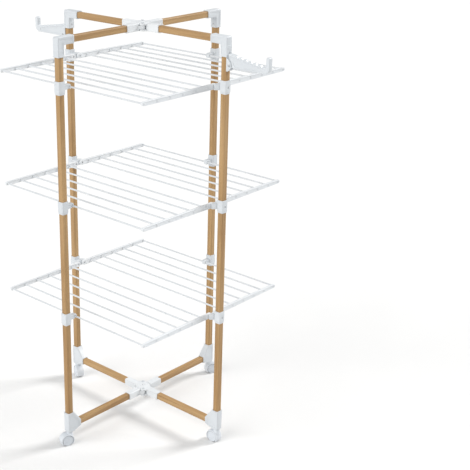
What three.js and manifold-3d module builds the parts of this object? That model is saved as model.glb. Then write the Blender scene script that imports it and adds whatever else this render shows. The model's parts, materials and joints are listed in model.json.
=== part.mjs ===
// Folding tower airer: a fixed frame A in the XZ plane, two leaves hinged on its hubs, three tiers of
// two hinged rod wings, two fold-down hanger arms and four twin-wheel castors.
// Millimetres, +Z up. The origin is on the floor, under the crossing of the two frames.
// Rods and frame A run along X. Each quarter of the stand is built in its own turned group, in which
// +X points outwards along its crossbars.
import * as THREE from "three";
import { mergeVertices } from "three/addons/utils/BufferGeometryUtils.js";
import Module from "manifold-3d";

// ---------------------------------------------------------------- driving dimensions
const TUBE = 22; // outer width of the square tubes
const TUBE_WALL = 1;
const TUBE_CORNER = 3;
const GAP = 0.3; // clearance between pieces that touch
const TURNING_GAP = 0.4; // clearance round pins and beside the pieces that turn on them
const PAST = 1; // how far a cut runs past the face it opens
const SLEEVE = 28; // outer width of the moulded sleeves, elbows and collars
const SLEEVE_CORNER = 4;

const POST_A = 384; // distance of frame A's posts from the centre
const POST_B = 394; // distance of the leaf posts from the centre
const TIER_HEIGHTS = [1357, 937, 515]; // rod level of tiers 1, 2 and 3
const TOP_BAR = 1514; // centre height of the upper crossbars
const BOTTOM_BAR = 78; // centre height of the lower crossbars

const SLEEVE_END = 88; // where the hub sleeves stop, from the centre
const BAR_START = 47; // where the crossbars stop inside the hub sleeves
const BAR_SHORT = 20; // crossbar end to post centre line

const PIVOT = 20; // leaf pivots stand at (PIVOT, -PIVOT) and (-PIVOT, PIVOT)
const PIN_RADIUS = 3;
const PIN_HEAD_RADIUS = 5.5;
const PIN_HEAD_RISE = 2.5; // pin head above a hub
const EYE_RADIUS = 9; // round end of a leaf knuckle
const EYE_HALF = 6; // half the height of a leaf knuckle
const BOSS_RADIUS = 28; // round middle of a hub
const BOSS_SIDES = 20;
const KNUCKLE_START = 17; // inner end of a knuckle's sleeve, before it is cut round the hub
const KNUCKLE_ROOM = 2.8; // clearance between that sleeve and the hub
const PLATE_INNER = 6.5; // hub plates start here, above and below the knuckles
const LOBE_RADIUS = EYE_RADIUS + 1; // hub lobe over a leaf pivot
const HUB_SLEEVE_START = 30;
const HUB_TONGUE_END = 32; // the plates' tongues run this far, into the sleeves
const HUB_CORE = 15; // radius of the solid middle that joins the plates
const HUB_WEB_HALF = 8.5; // half width of the web from the middle to the sleeves
const HUB_CAP_RADIUS = 11;
const HUB_CAP_RISE = 3;
const HUB_KNOB_RADIUS = 7;
const HUB_KNOB_DROP = 6;
const TONGUE_END = 38; // a knuckle's tongue widens from its eye to here
const TONGUE_NEAR = -9;
const TONGUE_FAR = 13.5;

const ELBOW_TOP = TOP_BAR + SLEEVE / 2;
const ELBOW_LOW = ELBOW_TOP - 68;
const ELBOW_REACH = 57; // an elbow's horizontal leg, from the post's centre line
const SOCKET_LOW = 53;
const SOCKET_REACH = 46; // a corner socket's horizontal leg, from the post's centre line
const SOCKET_HIGH = 133;
const SOCKET_BEVEL_IN = 3; // bevel under a corner socket's outer face
const SOCKET_BEVEL_UP = 5;
const POST_BOTTOM = 72;
const POST_TOP = TOP_BAR - SLEEVE / 2 - 1;

const COLLAR_HALF = 23; // half the height of a collar, about rod level

const ROD_RADIUS = 2.4;
const ROD_SIDES = 8;
const ROD_COUNT = 6;
const ROD_FIRST = 52; // first rod from the centre plane
const ROD_PITCH = 61;
const RAIL_X = 350; // centre of the end rails
const RAIL_THICK = 10;
const RAIL_ROOT = 10; // half height of a rail at its hinge
const RAIL_TIP = 5; // half height of a rail at its tip
const WING_PIVOT = 16; // wing hinge line from the centre plane
const LUG_HALF = 26; // half width of the hinge block on a collar
const LUG_HEIGHT = 11;

const CLIP_SLOT = 7.4; // width of the slot that holds the outermost rod
const CLIP_SLOT_TOP = 3.8; // top of that slot above rod level
const CLIP_HALF = 8; // half width of the clip block
const CLIP_INNER = 350;
const CLIP_TOP = 9;
const CLIP_BOTTOM = -8;

const ARM_HALF = 8; // half width of a hanger arm
const ARM_PIN_OUT = 24; // arm pin, outwards from the post's centre line
const ARM_PIN_Z = 1434;
const ARM_PIN_RADIUS = 2.5;
const ARM_PIN_SIDES = 12;
const ARM_PIN_HEAD = 4.5;
const ARM_PIN_HEAD_RISE = 2.5;
const ARM_LENGTH = 163; // pin to tip
const ARM_UNDER = 8; // underside below the pin
const ARM_ROOT_TOP = 38;
const ARM_END_TOP = 14;
const ARM_TIP_TOP = 48;
const ARM_TIP_THICK = 14;
const ARM_BEND = 20; // outer radius of the bend up to the tip
const ARM_NOTCHES = 6;
const ARM_NOTCH_START = 22; // pin to the first notch
const ARM_NOTCH_DEPTH = 4;
const BRACKET_LOW = ELBOW_TOP - 115;
const BRACKET_HIGH = ELBOW_TOP - 30;
const PLATE_RISE = 1; // bracket plate proud of the elbow
const CHEEK_THICK = 4;
const CHEEK_RIB = 3; // how far a cheek stands out from the plate above its ear
const CHEEK_HIGH = ARM_PIN_Z + 22;
const EAR_RADIUS = 7; // round end of a cheek, about the arm pin
const BRACKET_SLOT_HALF = 2.5;
const BRACKET_SLOT = [ARM_PIN_Z + 15, ARM_PIN_Z + 40];

const WHEEL_RADIUS = 20.5;
const WHEEL_INNER = 4.5; // inner face of a castor wheel, from the middle
const WHEEL_OUTER = 13;
const HOOD_RADIUS = 23.5;
const HOOD_HALF = 13.5;
const WELL_RADIUS = 21.5;
const HOOD_LOW = 6;
const WEB_HALF = 4;
const WEB_LOW = 4;
const TRAIL = 12; // castor axle behind its stem
const STEM_RADIUS = 5;
const STEM_TOP = POST_BOTTOM - 7;
const STEM_HOLE_TOP = POST_BOTTOM - 5;
const AXLE_RADIUS = 3;
const NECK_RADIUS = 11;
const NECK_LOW = 32;
const CASTOR_REACH = 60; // a box that holds a whole castor

const ROUND = 12; // sides of pins, eyes and bores
const TREAD_SIDES = 24;

// ---------------------------------------------------------------- materials
const finish = (color, roughness, metalness = 0) =>
  new THREE.MeshStandardMaterial({ color, roughness, metalness });
const WOOD = finish(0xc99a6b, 0.55);
const WHITE = finish(0xeef1f3, 0.35);
const ROD_WHITE = finish(0xf2f4f5, 0.3);
const STEEL = finish(0x9a9da0, 0.35, 0.9);
const WHEEL = finish(0xd9dde0, 0.5);

// ---------------------------------------------------------------- solids
const wasm = await Module();
wasm.setup();

function solid(geometry) {
  const bare = geometry.clone();
  bare.deleteAttribute("normal");
  bare.deleteAttribute("uv");
  const merged = mergeVertices(bare, 1e-4);
  return new wasm.Manifold(
    new wasm.Mesh({
      numProp: 3,
      vertProperties: merged.attributes.position.array,
      triVerts: new Uint32Array(merged.index.array),
    }),
  );
}

function geometryOf(body) {
  const { vertProperties, triVerts } = body.getMesh();
  const geometry = new THREE.BufferGeometry();
  geometry.setAttribute("position", new THREE.BufferAttribute(vertProperties, 3));
  geometry.setIndex(new THREE.BufferAttribute(triVerts, 1));
  geometry.computeVertexNormals();
  return geometry;
}

const join = (first, ...rest) => rest.reduce((sum, next) => sum.add(next), first);
const cut = (first, ...rest) => rest.reduce((left, next) => left.subtract(next), first);

function block([x0, x1], [y0, y1], [z0, z1]) {
  const box = new THREE.BoxGeometry(x1 - x0, y1 - y0, z1 - z0);
  return solid(box.translate((x0 + x1) / 2, (y0 + y1) / 2, (z0 + z1) / 2));
}

function upright(radius, x, y, [z0, z1], sides = ROUND) {
  const rod = new THREE.CylinderGeometry(radius, radius, z1 - z0, sides);
  return solid(rod.rotateX(Math.PI / 2).translate(x, y, (z0 + z1) / 2));
}

function alongX(radius, [x0, x1], y, z, sides = ROUND) {
  const rod = new THREE.CylinderGeometry(radius, radius, x1 - x0, sides);
  return solid(rod.rotateZ(Math.PI / 2).translate((x0 + x1) / 2, y, z));
}

function alongY(radius, x, [y0, y1], z, sides = ROUND) {
  const rod = new THREE.CylinderGeometry(radius, radius, y1 - y0, sides);
  return solid(rod.translate(x, (y0 + y1) / 2, z));
}

// A rounded square outline of the given width, centred on the origin.
function roundedSquare(Kind, width, radius) {
  const half = width / 2 - radius;
  const outline = new Kind();
  outline.absarc(half, half, radius, 0, Math.PI / 2);
  outline.absarc(-half, half, radius, Math.PI / 2, Math.PI);
  outline.absarc(-half, -half, radius, Math.PI, 1.5 * Math.PI);
  outline.absarc(half, -half, radius, 1.5 * Math.PI, 2 * Math.PI);
  outline.closePath();
  return outline;
}

const extrude = (shape, depth, curveSegments = 3) =>
  new THREE.ExtrudeGeometry(shape, { depth, curveSegments, bevelEnabled: false });

// A flat XY outline standing upright: its x stays x, its y becomes z, and it is centred on y = 0.
function standing(shape, halfWidth, curveSegments) {
  const plate = extrude(shape, 2 * halfWidth, curveSegments);
  return solid(plate.rotateX(Math.PI / 2).translate(0, halfWidth, 0));
}

const polygon = (points) => new THREE.Shape(points.map(([x, y]) => new THREE.Vector2(x, y)));

// ---------------------------------------------------------------- scene helpers
const airer = new THREE.Group();

function place(parent, name, body, material) {
  const mesh = new THREE.Mesh(geometryOf(body), material.clone());
  mesh.name = name;
  parent.add(mesh);
}

function turned(parent, degrees) {
  const group = new THREE.Group();
  group.rotation.z = THREE.MathUtils.degToRad(degrees);
  parent.add(group);
  return group;
}

// ---------------------------------------------------------------- tubes
function squareTube(length) {
  const outline = roundedSquare(THREE.Shape, TUBE, TUBE_CORNER);
  outline.holes.push(roundedSquare(THREE.Path, TUBE - 2 * TUBE_WALL, TUBE_CORNER - TUBE_WALL));
  return extrude(outline, length, 2);
}

const post = (distance) =>
  solid(squareTube(POST_TOP - POST_BOTTOM).translate(distance, 0, POST_BOTTOM));

function crossbar(distance, height) {
  const tube = squareTube(distance - BAR_SHORT - BAR_START);
  return solid(tube.rotateY(Math.PI / 2).translate(BAR_START, 0, height));
}

// The square pocket that a crossbar enters, from x0 to x1, at the given height.
function barPocket(x0, x1, height) {
  const half = TUBE / 2 + GAP;
  return block([x0, x1], [-half, half], [height - half, height + half]);
}

function postPocket(distance, z0, z1) {
  const half = TUBE / 2 + GAP;
  return block([distance - half, distance + half], [-half, half], [z0, z1]);
}

// ---------------------------------------------------------------- hubs and leaf knuckles
// Both hub plates: a round boss with one lobe over each leaf pivot and a tongue to each sleeve.
function hubPlate([z0, z1]) {
  const reach = PIVOT * Math.SQRT2;
  const bridge = new THREE.BoxGeometry(2 * reach, 2 * LOBE_RADIUS, z1 - z0);
  bridge.rotateZ(-Math.PI / 4).translate(0, 0, (z0 + z1) / 2);
  return join(
    upright(BOSS_RADIUS, 0, 0, [z0, z1], BOSS_SIDES),
    solid(bridge),
    upright(LOBE_RADIUS, PIVOT, -PIVOT, [z0, z1]),
    upright(LOBE_RADIUS, -PIVOT, PIVOT, [z0, z1]),
    block([-HUB_TONGUE_END, HUB_TONGUE_END], [-SLEEVE / 2, SLEEVE / 2], [z0, z1]),
  );
}

function hub(height) {
  const half = SLEEVE / 2;
  const sleeve = (side) => {
    const [near, far] = side > 0 ? [HUB_SLEEVE_START, SLEEVE_END] : [-SLEEVE_END, -HUB_SLEEVE_START];
    return block([near, far], [-half, half], [-half, half]);
  };
  const bore = (x, y) => upright(PIN_RADIUS + TURNING_GAP, x, y, [-half - PAST, half + PAST]);
  const whole = join(
    hubPlate([-half, -PLATE_INNER]),
    hubPlate([PLATE_INNER, half]),
    upright(HUB_CORE, 0, 0, [-half, half]),
    block([-HUB_TONGUE_END, HUB_TONGUE_END], [-HUB_WEB_HALF, HUB_WEB_HALF], [-half, half]),
    sleeve(1),
    sleeve(-1),
    upright(HUB_CAP_RADIUS, 0, 0, [half - PAST, half + HUB_CAP_RISE]),
    upright(HUB_KNOB_RADIUS, 0, 0, [-half - HUB_KNOB_DROP, -half + PAST]),
  );
  const bored = cut(
    whole,
    barPocket(BAR_START - GAP, SLEEVE_END + PAST, 0),
    barPocket(-SLEEVE_END - PAST, -BAR_START + GAP, 0),
    bore(PIVOT, -PIVOT),
    bore(-PIVOT, PIVOT),
  );
  return bored.translate([0, 0, height]);
}

// The leaf's half of a hub: a sleeve on the crossbar with an eye that turns between the hub plates.
function knuckle(height) {
  const half = SLEEVE / 2;
  const lean = EYE_RADIUS * Math.SQRT1_2;
  const outline = polygon([
    [PIVOT - lean, PIVOT - lean],
    [TONGUE_END, TONGUE_NEAR],
    [TONGUE_END, TONGUE_FAR],
    [PIVOT + lean, PIVOT + lean],
  ]);
  const tongue = solid(extrude(outline, 2 * EYE_HALF).translate(0, 0, -EYE_HALF));
  const throughout = [-half - PAST, half + PAST];
  const sleeve = cut(
    block([KNUCKLE_START, SLEEVE_END], [-half, half], [-half, half]),
    upright(BOSS_RADIUS + KNUCKLE_ROOM, 0, 0, throughout, BOSS_SIDES),
    upright(LOBE_RADIUS + KNUCKLE_ROOM, PIVOT, PIVOT, throughout),
  );
  const whole = join(
    sleeve,
    tongue,
    upright(EYE_RADIUS, PIVOT, PIVOT, [-EYE_HALF, EYE_HALF]),
  );
  const bored = cut(
    whole,
    barPocket(BAR_START - GAP, SLEEVE_END + PAST, 0),
    upright(PIN_RADIUS + TURNING_GAP, PIVOT, PIVOT, throughout),
  );
  return bored.translate([0, 0, height]);
}

function hubPin(x, y, height) {
  const half = SLEEVE / 2;
  return join(
    upright(PIN_RADIUS, x, y, [height - half, height + half + PAST]),
    upright(PIN_HEAD_RADIUS, x, y, [height + half + GAP, height + half + PIN_HEAD_RISE]),
  );
}

// ---------------------------------------------------------------- elbows and corner sockets
function topElbow(distance) {
  const half = SLEEVE / 2;
  const inner = ELBOW_TOP - SLEEVE;
  const outline = new THREE.Shape();
  outline.moveTo(distance - half, ELBOW_LOW);
  outline.lineTo(distance + half, ELBOW_LOW);
  outline.lineTo(distance + half, ELBOW_TOP - SLEEVE_CORNER);
  outline.absarc(
    distance + half - SLEEVE_CORNER, ELBOW_TOP - SLEEVE_CORNER, SLEEVE_CORNER, 0, Math.PI / 2,
  );
  outline.lineTo(distance - ELBOW_REACH, ELBOW_TOP);
  outline.lineTo(distance - ELBOW_REACH, inner);
  outline.lineTo(distance - half, inner);
  outline.closePath();
  return cut(
    standing(outline, half, 4),
    postPocket(distance, ELBOW_LOW - PAST, POST_TOP + GAP),
    barPocket(distance - ELBOW_REACH - PAST, distance - BAR_SHORT + GAP, TOP_BAR),
  );
}

// The plate and the two cheeks, on an elbow's outer face, that hold a hanger arm.
function armBracket(distance) {
  const face = distance + TUBE / 2 + TURNING_GAP;
  const plateOut = distance + SLEEVE / 2 + PLATE_RISE;
  const pinX = distance + ARM_PIN_OUT;
  const inner = ARM_HALF + TURNING_GAP;
  const outer = inner + CHEEK_THICK;
  const cheek = (side) => {
    const span = side > 0 ? [inner, outer] : [-outer, -inner];
    return join(
      block([face, plateOut + CHEEK_RIB], span, [BRACKET_LOW, CHEEK_HIGH]),
      block([face, pinX], span, [ARM_PIN_Z - EAR_RADIUS, ARM_PIN_Z + EAR_RADIUS]),
      alongY(EAR_RADIUS, pinX, span, ARM_PIN_Z),
    );
  };
  return cut(
    join(
      block([face, plateOut], [-outer, outer], [BRACKET_LOW, BRACKET_HIGH]),
      cheek(1),
      cheek(-1),
    ),
    alongY(ARM_PIN_RADIUS + TURNING_GAP, pinX, [-outer - PAST, outer + PAST], ARM_PIN_Z, ARM_PIN_SIDES),
    block([face - PAST, plateOut + PAST], [-BRACKET_SLOT_HALF, BRACKET_SLOT_HALF], BRACKET_SLOT),
  );
}

function cornerSocket(distance) {
  const half = SLEEVE / 2;
  const outline = polygon([
    [distance - half, SOCKET_LOW],
    [distance + half - SOCKET_BEVEL_IN, SOCKET_LOW],
    [distance + half, SOCKET_LOW + SOCKET_BEVEL_UP],
    [distance + half, SOCKET_HIGH],
    [distance - half, SOCKET_HIGH],
    [distance - SOCKET_REACH, BOTTOM_BAR + half],
    [distance - SOCKET_REACH, BOTTOM_BAR - half],
  ]);
  return cut(
    standing(outline, half),
    postPocket(distance, POST_BOTTOM - GAP, SOCKET_HIGH + PAST),
    barPocket(distance - SOCKET_REACH - PAST, distance - BAR_SHORT + GAP, BOTTOM_BAR),
    upright(STEM_RADIUS + TURNING_GAP, distance, 0, [SOCKET_LOW - PAST, STEM_HOLE_TOP]),
  );
}

// ---------------------------------------------------------------- collars
function collarRing(distance, tier) {
  const ring = extrude(roundedSquare(THREE.Shape, SLEEVE, SLEEVE_CORNER), 2 * COLLAR_HALF, 2);
  return solid(ring.translate(distance, 0, tier - COLLAR_HALF));
}

const collarBore = (distance, tier) =>
  postPocket(distance, tier - COLLAR_HALF - PAST, tier + COLLAR_HALF + PAST);

// Frame A's collar: a block on the inner side with one stub axle for each wing of the tier.
function hingeCollar(distance, tier) {
  const railFace = RAIL_X + RAIL_THICK / 2;
  const lugFace = railFace + 2 * GAP;
  const stub = (y) => alongX(PIN_RADIUS, [RAIL_X - RAIL_THICK / 2, lugFace + PAST], y, tier);
  const lug = block(
    [lugFace, distance - SLEEVE / 2 + PAST],
    [-LUG_HALF, LUG_HALF],
    [tier - LUG_HEIGHT, tier + LUG_HEIGHT],
  );
  return join(
    cut(collarRing(distance, tier), collarBore(distance, tier)),
    lug,
    stub(WING_PIVOT),
    stub(-WING_PIVOT),
  );
}

// The leaf's collar: a clip, open downwards, that the outermost rod of a wing snaps into.
function clipCollar(distance, tier) {
  const rod = ROD_FIRST + (ROD_COUNT - 1) * ROD_PITCH;
  const clip = block(
    [CLIP_INNER, distance - SLEEVE / 2 + PAST],
    [-CLIP_HALF, CLIP_HALF],
    [tier + CLIP_BOTTOM, tier + CLIP_TOP],
  );
  const slot = block(
    [rod - CLIP_SLOT / 2, rod + CLIP_SLOT / 2],
    [-CLIP_HALF - PAST, CLIP_HALF + PAST],
    [tier + CLIP_BOTTOM - PAST, tier + CLIP_SLOT_TOP],
  );
  return join(
    cut(collarRing(distance, tier), collarBore(distance, tier)),
    cut(clip, slot),
  );
}

// ---------------------------------------------------------------- wings
// A tapered side rail with round ends, in the plane x = centre, running from its hinge along -Y.
function rail(centre, tier) {
  const last = ROD_FIRST + (ROD_COUNT - 1) * ROD_PITCH;
  const outline = new THREE.Shape();
  outline.absarc(WING_PIVOT, 0, RAIL_ROOT, Math.PI / 2, 1.5 * Math.PI);
  outline.absarc(last, 0, RAIL_TIP, -Math.PI / 2, Math.PI / 2);
  outline.closePath();
  const plate = extrude(outline, RAIL_THICK, 6);
  plate.rotateX(Math.PI / 2).rotateZ(-Math.PI / 2);
  return solid(plate.translate(centre + RAIL_THICK / 2, 0, tier));
}

function wing(tier) {
  const reach = RAIL_X + RAIL_THICK / 2;
  const rods = Array.from({ length: ROD_COUNT }, (_, k) =>
    alongX(ROD_RADIUS, [-RAIL_X, RAIL_X], -ROD_FIRST - k * ROD_PITCH, tier, ROD_SIDES),
  );
  return cut(
    join(rail(RAIL_X, tier), rail(-RAIL_X, tier), ...rods),
    alongX(PIN_RADIUS + TURNING_GAP, [-reach - PAST, reach + PAST], -WING_PIVOT, tier),
  );
}

// ---------------------------------------------------------------- hanger arms
function hangerArm(distance) {
  const pinX = distance + ARM_PIN_OUT;
  const tipStart = ARM_LENGTH - ARM_TIP_THICK;
  const tipRadius = ARM_TIP_THICK / 2;
  const pitch = (tipStart - ARM_UNDER - ARM_NOTCH_START) / ARM_NOTCHES;
  const topAt = (x) => ARM_ROOT_TOP + ((ARM_END_TOP - ARM_ROOT_TOP) * x) / tipStart;
  const outline = new THREE.Shape();
  outline.absarc(0, 0, ARM_UNDER, Math.PI, 1.5 * Math.PI);
  outline.absarc(ARM_LENGTH - ARM_BEND, ARM_BEND - ARM_UNDER, ARM_BEND, -Math.PI / 2, 0);
  outline.absarc(ARM_LENGTH - tipRadius, ARM_TIP_TOP - tipRadius, tipRadius, 0, Math.PI);
  outline.lineTo(tipStart, ARM_END_TOP + ARM_NOTCH_DEPTH);
  for (let k = ARM_NOTCHES; k > 0; k -= 1) {
    const high = ARM_NOTCH_START + k * pitch;
    const low = high - pitch / 2;
    outline.lineTo(high, topAt(high));
    outline.lineTo(low, topAt(low) - ARM_NOTCH_DEPTH);
  }
  outline.lineTo(ARM_NOTCH_START, topAt(ARM_NOTCH_START));
  outline.lineTo(-ARM_UNDER, ARM_ROOT_TOP);
  outline.closePath();
  const across = [-ARM_HALF - PAST, ARM_HALF + PAST];
  return cut(
    standing(outline, ARM_HALF, 5).translate([pinX, 0, ARM_PIN_Z]),
    alongY(ARM_PIN_RADIUS + TURNING_GAP, pinX, across, ARM_PIN_Z, ARM_PIN_SIDES),
  );
}

function armPin(distance) {
  const pinX = distance + ARM_PIN_OUT;
  const outer = ARM_HALF + TURNING_GAP + CHEEK_THICK;
  const head = [-outer - ARM_PIN_HEAD_RISE, -outer - GAP];
  return join(
    alongY(ARM_PIN_RADIUS, pinX, [-outer - PAST, outer], ARM_PIN_Z, ARM_PIN_SIDES),
    alongY(ARM_PIN_HEAD, pinX, head, ARM_PIN_Z, ARM_PIN_SIDES),
  );
}

// ---------------------------------------------------------------- castors
// Built with the stem on the origin and the axle at x = TRAIL, along Y.
function castorHousing() {
  const extent = [-CASTOR_REACH, CASTOR_REACH];
  const below = (height) => block(extent, extent, [-CASTOR_REACH, height]);
  const well = ([y0, y1]) => alongY(WELL_RADIUS, TRAIL, [y0, y1], WHEEL_RADIUS, TREAD_SIDES);
  const hood = alongY(HOOD_RADIUS, TRAIL, [-HOOD_HALF, HOOD_HALF], WHEEL_RADIUS, TREAD_SIDES);
  const web = alongY(HOOD_RADIUS, TRAIL, [-WEB_HALF, WEB_HALF], WHEEL_RADIUS, TREAD_SIDES);
  return cut(
    join(
      cut(hood, below(HOOD_LOW)),
      cut(web, below(WEB_LOW)),
      upright(NECK_RADIUS, 0, 0, [NECK_LOW, SOCKET_LOW - GAP]),
      upright(STEM_RADIUS, 0, 0, [SOCKET_LOW - GAP - PAST, STEM_TOP]),
    ),
    well([WEB_HALF, HOOD_HALF + PAST]),
    well([-HOOD_HALF - PAST, -WEB_HALF]),
    alongY(AXLE_RADIUS + TURNING_GAP, TRAIL, [-WEB_HALF - PAST, WEB_HALF + PAST], WHEEL_RADIUS),
  );
}

// Both wheels of a castor, on the axle that joins them. Each tread stands on one of its flats.
function castorWheels() {
  const halfSide = Math.PI / TREAD_SIDES;
  const corner = WHEEL_RADIUS / Math.cos(halfSide);
  const wheel = ([y0, y1]) => {
    const tread = new THREE.CylinderGeometry(corner, corner, y1 - y0, TREAD_SIDES, 1, false, halfSide);
    return solid(tread.translate(TRAIL, (y0 + y1) / 2, WHEEL_RADIUS));
  };
  return join(
    wheel([WHEEL_INNER, WHEEL_OUTER]),
    wheel([-WHEEL_OUTER, -WHEEL_INNER]),
    alongY(AXLE_RADIUS, TRAIL, [-WHEEL_INNER - PAST, WHEEL_INNER + PAST], WHEEL_RADIUS),
  );
}

// ---------------------------------------------------------------- assembly
// castorTurn sets each castor aside so that neighbours pass each other when the stand is folded.
const QUARTERS = [
  { side: "a_right", turn: 0, distance: POST_A, castorTurn: 180 },
  { side: "a_left", turn: 180, distance: POST_A, castorTurn: 155 },
  { side: "b_front", turn: -90, distance: POST_B, castorTurn: -20 },
  { side: "b_back", turn: 90, distance: POST_B, castorTurn: -25 },
];

for (const { side, turn, distance, castorTurn } of QUARTERS) {
  const quarter = turned(airer, turn);
  const fixed = side.startsWith("a_");
  const elbow = topElbow(distance);
  place(quarter, `post_${side}`, post(distance), WOOD);
  place(quarter, `top_crossbar_${side}`, crossbar(distance, TOP_BAR), WOOD);
  place(quarter, `bottom_crossbar_${side}`, crossbar(distance, BOTTOM_BAR), WOOD);
  place(quarter, `corner_socket_${side}`, cornerSocket(distance), WHITE);
  if (fixed) {
    place(quarter, `top_elbow_${side}`, join(elbow, armBracket(distance)), WHITE);
    place(quarter, `hanger_arm_${side}`, hangerArm(distance), WHITE);
    place(quarter, `arm_pin_${side}`, armPin(distance), STEEL);
  } else {
    place(quarter, `top_elbow_${side}`, elbow, WHITE);
    place(quarter, `top_knuckle_${side}`, knuckle(TOP_BAR), WHITE);
    place(quarter, `bottom_knuckle_${side}`, knuckle(BOTTOM_BAR), WHITE);
  }
  TIER_HEIGHTS.forEach((tier, index) => {
    const [name, body] = fixed
      ? ["hinge_collar", hingeCollar(distance, tier)]
      : ["clip_collar", clipCollar(distance, tier)];
    place(quarter, `${name}_${side}_${index + 1}`, body, WHITE);
  });
  const castor = turned(quarter, castorTurn);
  castor.position.x = distance;
  place(castor, `castor_housing_${side}`, castorHousing(), WHITE);
  place(castor, `castor_wheels_${side}`, castorWheels(), WHEEL);
}

for (const [level, height] of [["top", TOP_BAR], ["bottom", BOTTOM_BAR]]) {
  place(airer, `${level}_hub`, hub(height), WHITE);
  place(airer, `${level}_hub_pin_front`, hubPin(PIVOT, -PIVOT, height), STEEL);
  place(airer, `${level}_hub_pin_back`, hubPin(-PIVOT, PIVOT, height), STEEL);
}

for (const [half, turn] of [["front", 0], ["back", 180]]) {
  const wings = turned(airer, turn);
  TIER_HEIGHTS.forEach((tier, index) => {
    place(wings, `wing_${half}_${index + 1}`, wing(tier), ROD_WHITE);
  });
}

export default airer;
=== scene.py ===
import json
import math

import bmesh
import bpy
from mathutils import Matrix, Vector


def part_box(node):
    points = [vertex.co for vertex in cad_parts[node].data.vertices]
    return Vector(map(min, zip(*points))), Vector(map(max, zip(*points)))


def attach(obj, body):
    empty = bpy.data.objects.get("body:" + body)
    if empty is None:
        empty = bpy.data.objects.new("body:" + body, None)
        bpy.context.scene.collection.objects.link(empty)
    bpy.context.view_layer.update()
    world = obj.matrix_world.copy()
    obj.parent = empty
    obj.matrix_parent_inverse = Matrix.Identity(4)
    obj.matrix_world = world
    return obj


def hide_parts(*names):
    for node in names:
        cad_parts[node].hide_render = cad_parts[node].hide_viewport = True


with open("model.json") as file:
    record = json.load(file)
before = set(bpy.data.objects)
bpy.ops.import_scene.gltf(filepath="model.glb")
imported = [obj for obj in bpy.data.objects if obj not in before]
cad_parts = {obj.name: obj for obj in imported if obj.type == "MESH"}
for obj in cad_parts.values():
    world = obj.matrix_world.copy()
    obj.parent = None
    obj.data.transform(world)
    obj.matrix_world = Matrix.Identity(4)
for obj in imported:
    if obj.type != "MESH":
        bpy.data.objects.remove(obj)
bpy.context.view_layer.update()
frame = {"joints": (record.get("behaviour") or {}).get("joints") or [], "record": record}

MM = 0.001

# ---------------------------------------------------------------- places, from the frame
BODY_OF = {
    node: body for body, nodes in frame["record"]["behaviour"]["bodies"].items() for node in nodes
}
JOINTS = {joint["name"]: joint for joint in frame["joints"]}


def corners(node):
    low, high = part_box(node)
    return low / MM, high / MM


def centre(node):
    low, high = corners(node)
    return (low + high) / 2


TURNS = {"a_right": 0, "a_left": 180, "b_front": -90, "b_back": 90}
TIERS = (1, 2, 3)
TOP_BAR = centre("top_crossbar_a_right").z
BOTTOM_BAR = centre("bottom_crossbar_a_right").z
TIER_HEIGHTS = {tier: centre(f"wing_front_{tier}").z for tier in TIERS}
POST_LOW, POST_HIGH = (corner.z for corner in corners("post_a_right"))
PIVOT = JOINTS["leaf_front_fold"]["pos_m"][0] / MM
WING_PIVOT = JOINTS["back_wing_1_fold"]["pos_m"][1] / MM
ARM_PIN_X = JOINTS["hanger_arm_right_fold"]["pos_m"][0] / MM
ARM_PIN_Z = JOINTS["hanger_arm_right_fold"]["pos_m"][2] / MM
RAIL_OUT = corners("wing_front_1")[1].x
WING_END = 5  # the frame's wings run this far past their last rod
ROD_LAST = -corners("wing_front_1")[0].y - WING_END
DISTANCE_A = centre("post_a_right").x
DISTANCE_B = -centre("post_b_front").y
DISTANCES = {side: DISTANCE_A if side.startswith("a_") else DISTANCE_B for side in TURNS}
PIN_OUT = ARM_PIN_X - DISTANCE_A

# ---------------------------------------------------------------- sizes
PAST = 1  # how far a cut runs past the face it opens
TUBE = 22
TUBE_CORNER = 3
TUBE_WALL = 1
TUBE_SOFT = 0.5  # rounding of a tube's cut ends
BORE = TUBE + 0.8
BORE_CORNER = TUBE_CORNER + 0.3
BAR_START = 47  # from the middle of a hub to the end of a crossbar
BAR_SHORT = 20  # from a post's centre line to the other end
BAR_GAP = 0.3  # between a crossbar's end and the end of its bore

SLEEVE = 28
HALF = SLEEVE / 2
SLEEVE_CORNER = 4
SLEEVE_END = 88  # from the middle of a hub
LIP_RISE = 0.6
LIP_LENGTH = 4.5
SHELL_ROUND = 3.6  # rounding of the long edges of elbows and sockets
SHELL_STEPS = 4
SHELL_EDGE = 0.45  # rounding of their other edges
FINE_EDGE = 0.4

ELBOW_REACH = 57
ELBOW_DROP = 68
ELBOW_PANEL_DEPTH = 0.7
PANEL_MARGIN = 9
SOCKET_REACH = 46
SOCKET_LOW = 53
SOCKET_HIGH = 133
SOCKET_PANEL_DEPTH = 1
SOCKET_COLLAR_RADIUS = 9.5
STEM_BORE = 5.4

PLATE_GAP = 0.45  # between the arm plate and the post
PLATE_RISE = 1
PLATE_TOP = 30  # below the top of the elbow
PLATE_BOTTOM = 115  # below the top of the elbow
CHEEKS = (8.4, 12.4)  # inner and outer faces, from the arm's middle plane
CHEEK_REACH = 4  # how far the upper and lower ends of the cheeks stand out
CHEEK_BELOW = 21
CHEEK_ABOVE = 22
EAR = 7  # how far an ear runs past the arm pin
EAR_ROUND = 6.8
ARM_PIN_BORE = 2.9
ARM_SLOT_HALF = 2.5
ARM_SLOT_DEPTH = 0.4  # behind the face of the elbow
ARM_SLOT = (15, 40)  # above the arm pin

COLLAR_HALF = 23
COLLAR_CORNER = 4.2
LUG_HALF = 26
LUG_ROOT = 16.5
LUG_RISE = 10.7
LUG_DEPTH = 6.3
LUG_SINK = 1.7  # how far a lug runs into the barrel
LUG_BOSS_RADIUS = 7.4
CLIP_INNER = 350  # the clip's inner face, from the middle of the stand
CLIP_HALF = 8
CLIP_TOP = 9
CLIP_MOUTH = 9  # the mouth is cut this far below rod level
CLIP_BORE = 3.5

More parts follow.
